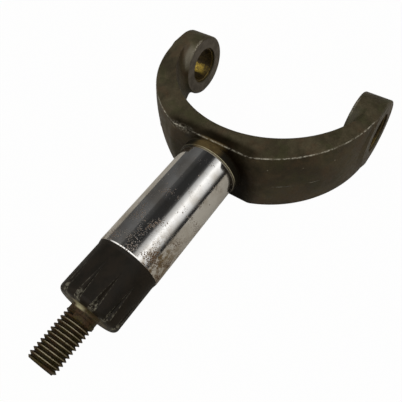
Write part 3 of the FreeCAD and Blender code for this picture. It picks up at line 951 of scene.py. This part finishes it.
@dataclass
class PartingFlash:
    """What the trimming die left of the flash along the parting line: short thin ridges round the arms."""

    width: float = 0.0011
    height: float = 0.00032
    sunk: float = 0.0004
    peak_share: float = 0.35
    step_angle: float = 0.7
    # Where each ridge starts and ends round the C, in degrees from straight along the shank.
    ridges: tuple[tuple[float, float], ...] = ((31, 42), (47.5, 53.5), (-44, -33), (-69, -55))
    # How far below the middle plane the parting line runs.
    drop: float = 0.0010
    # How steeply a ridge rises at its ends, and how it rises and falls between them.
    end_slope: float = 6
    mean_height: float = 0.62
    swing: float = 0.38
    swing_turn: float = 19

    def build(self) -> list[Piece]:
        """Build the ridges and return them."""
        finish = FlashMetal().build()
        pieces = []
        for number, (start, end) in enumerate(self.ridges, start=1):
            piece = self._ridge(f"parting_flash_{number}", start, end)
            piece.data.materials.append(finish)
            pieces.append(hand_over(piece, "forged_steel"))
        return pieces

    def _ridge(self, name: str, start: float, end: float) -> Piece:
        """Spin a small peaked section round the C, and run both its ends out into the wall.

        Args:
            name: The piece's name.
            start: Where it starts, in degrees.
            end: Where it ends, in degrees.

        Returns:
            The ridge.
        """
        bpy.ops.object.select_all(action="DESELECT")
        place = (SIZES.outer_centre + SIZES.outer_radius, 0, -self.drop)
        bpy.ops.mesh.primitive_plane_add(size=1, location=place, rotation=(math.pi / 2, 0, 0))
        piece = bpy.context.object
        piece.name = name
        piece.scale = (self.sunk * 2, self.width, 1)
        bpy.ops.object.transform_apply(location=True, rotation=True, scale=True)
        for vertex in piece.data.vertices:
            outside = vertex.co.x > place[0]
            vertex.co.x = place[0] + (self.height if outside else -self.sunk)
            vertex.co.z = place[2] + (vertex.co.z - place[2]) * (self.peak_share if outside else 1)
        bpy.ops.object.mode_set(mode="EDIT")
        bpy.ops.mesh.select_all(action="SELECT")
        centre = (SIZES.outer_centre, 0, 0)
        bpy.ops.transform.rotate(value=-math.radians(start), orient_axis="Z", center_override=centre)
        steps = round((end - start) / self.step_angle)
        bpy.ops.mesh.spin(steps=steps, angle=math.radians(start - end), center=centre, axis=(0, 0, 1))
        bpy.ops.object.mode_set(mode="OBJECT")
        self._close_and_taper(piece, start, end)
        return piece

    def _close_and_taper(self, piece: Piece, start: float, end: float) -> None:
        """Cap the ridge's ends, turn its faces outwards, and let it fade at its ends and dip between them."""
        select_only(piece)
        bpy.ops.object.mode_set(mode="EDIT")
        bpy.ops.mesh.select_all(action="SELECT")
        bpy.ops.mesh.remove_doubles(threshold=MERGE_DISTANCE)
        bpy.ops.mesh.select_all(action="DESELECT")
        bpy.ops.mesh.select_non_manifold()
        bpy.ops.mesh.edge_face_add()
        bpy.ops.mesh.select_all(action="SELECT")
        bpy.ops.mesh.normals_make_consistent(inside=False)
        bpy.ops.object.mode_set(mode="OBJECT")
        for vertex in piece.data.vertices:
            across = vertex.co.x - SIZES.outer_centre
            radius = math.hypot(across, vertex.co.y)
            share = (math.degrees(math.atan2(vertex.co.y, across)) - start) / (end - start)
            fade = min(1.0, self.end_slope * min(share, 1 - share))
            fade = fade * (self.mean_height + self.swing * math.cos(self.swing_turn * share))
            if radius > SIZES.outer_radius:
                wanted = SIZES.outer_radius - self.sunk / 4 + (self.height + self.sunk / 4) * max(fade, 0)
                vertex.co.x = SIZES.outer_centre + across * wanted / radius
                vertex.co.y *= wanted / radius


@dataclass
class Studio:
    """The camera at the photograph's angle, a floor that it sees nearly white, and light from all round."""

    camera_place: Vector = Vector((0.23943671, 0.12389132, 0.2397182))
    camera_right: Vector = Vector((-0.57229388, 0.8162747, -0.07858327))
    camera_forward: Vector = Vector((-0.43421858, -0.38292831, -0.81536503))
    focal_pixels: float = 456.4
    sensor: float = 36.0
    clip_start: float = 0.01
    floor_size: float = 8.0
    floor_colour: Colour = (0.42, 0.38, 0.31)
    floor_roughness: float = 0.8
    floor_glow: float = 0.98
    glossy_share: float = 0.1
    # The light over the yoke's side, in bands along the shank: an angle from straight up, towards the right
    # eye, and a level. The journal shows these bands.
    levels: tuple[Span, ...] = (
        (-180, 0.2), (-90, 0.12), (-60, 0.13), (-40, 0.17), (-30, 0.14), (-20, 0.07), (-10, 0.035),
        (14, 0.035), (21, 0.10), (25, 0.5), (30, 0.72), (38, 1.1), (44, 1.65), (50, 1.6), (60, 1.25),
        (68, 0.95), (73, 0.65), (78, 0.20), (83, 0.03), (93, 0.03), (110, 0.3), (180, 0.2),
    )
    # The light over the stud's side: a level at the horizon, one overhead, and between which heights of the
    # light's direction the one turns into the other.
    low_light: float = 0.16
    top_light: float = 1.8
    light_heights: Span = (0.1, 0.8)
    # Between which slants of the light's direction along the shank the bands turn into that plain light.
    side_change: Span = (-0.22, 0.05)

    def build(self) -> None:
        """Build the camera, the floor and the light."""
        self._camera()
        self._floor()
        self._sky()

    def _camera(self) -> None:
        """Place the camera."""
        data = bpy.data.cameras.new("camera")
        data.sensor_width = self.sensor
        data.lens = self.sensor * self.focal_pixels / PHOTO_WIDTH
        data.clip_start = self.clip_start
        camera = bpy.data.objects.new("camera", data)
        back = -self.camera_forward.normalized()
        right = (self.camera_right - back * self.camera_right.dot(back)).normalized()
        up = back.cross(right)
        turn = Matrix((right, up, back)).transposed()
        camera.matrix_world = Matrix.Translation(self.camera_place) @ turn.to_4x4()
        bpy.context.scene.collection.objects.link(camera)
        bpy.context.scene.camera = camera

    def _floor(self) -> None:
        """Lay the floor where the part rests: under the crown's lower edge and the end of the seat."""
        rise = SIZES.crown_top - SIZES.seat_radius
        tilt = math.atan2(rise, SIZES.seat_end - SIZES.crown_face)
        place = (SIZES.crown_face, 0, -SIZES.crown_top)
        bpy.ops.mesh.primitive_plane_add(size=self.floor_size, location=place, rotation=(0, -tilt, 0))
        floor = bpy.context.object
        floor.name = "floor"
        floor.data.materials.append(self._floor_material())

    def _floor_material(self) -> bpy.types.Material:
        """Make the floor's warm grey, which the camera sees nearly white, and return it."""
        material = bpy.data.materials.new("pale_floor")
        material.use_nodes = True
        wiring = Wiring(material.node_tree)
        surface = wiring.tree.nodes["Principled BSDF"]
        surface.inputs["Base Color"].default_value = (*self.floor_colour, 1)
        surface.inputs["Roughness"].default_value = self.floor_roughness
        path = wiring.add("ShaderNodeLightPath")
        in_gloss = wiring.times(path.outputs["Is Glossy Ray"], self.glossy_share)
        share = wiring.math("MULTIPLY_ADD", wiring.seen_white(), self.floor_glow, in_gloss)
        glow = wiring.add("ShaderNodeEmission")
        mix = wiring.add("ShaderNodeMixShader", {0: share, 1: surface.outputs[0], 2: glow.outputs[0]})
        wiring.tree.links.new(mix.outputs[0], wiring.tree.nodes["Material Output"].inputs["Surface"])
        return material

    def _sky(self) -> None:
        """Light the part from all round: in bands over the yoke's side, and plainly over the stud's."""
        world = bpy.data.worlds.new("studio")
        world.use_nodes = True
        bpy.context.scene.world = world
        wiring = Wiring(world.node_tree)
        background = wiring.tree.nodes["Background"]
        background.inputs["Color"].default_value = (1, 1, 1, 1)
        source = wiring.add("ShaderNodeTexCoord")
        split = wiring.add("ShaderNodeSeparateXYZ", {0: source.outputs["Generated"]})
        along, across, up = split.outputs
        plain = wiring.step(up, *self.light_heights, self.low_light, self.top_light)
        side = wiring.step(along, *self.side_change)
        light = wiring.between(side, self._bands(wiring, across, up), plain)
        strength = wiring.between(wiring.seen_white(), light, 1.0)
        wiring.tree.links.new(strength, background.inputs["Strength"])

    def _bands(self, wiring: Wiring, across: Socket, up: Socket) -> Socket:
        """Make the bands of light along the shank.

        Args:
            wiring: The world's node tree.
            across: How far the light's direction points towards the right eye.
            up: How far it points up.

        Returns:
            The light's level.
        """
        angle = wiring.math("ARCTAN2", across, up)
        share = wiring.add("ShaderNodeMapRange", {"Value": angle, "From Min": -math.pi, "From Max": math.pi})
        ramp = wiring.add("ShaderNodeValToRGB", {0: share.outputs["Result"]})
        stops = ramp.color_ramp.elements
        first_stops = len(stops)
        top = max(level for _, level in self.levels)
        for index, (degrees, level) in enumerate(self.levels):
            place = (degrees + 180) / 360
            stop = stops[index] if index < first_stops else stops.new(place)
            stop.position = place
            stop.color = (level / top, level / top, level / top, 1)
        return wiring.times(ramp.outputs["Color"], top)


def main() -> None:
    """Build the pieces in order, then the studio."""
    logging.basicConfig(level=logging.INFO)
    bpy.context.scene.view_settings.view_transform = "Standard"
    bpy.ops.object.select_all(action="DESELECT")
    for assembly in (Forging(), Shank(), EyeBushes(), PartingFlash()):
        assembly.build()
    Studio().build()


if __name__ == "__main__":
    main()
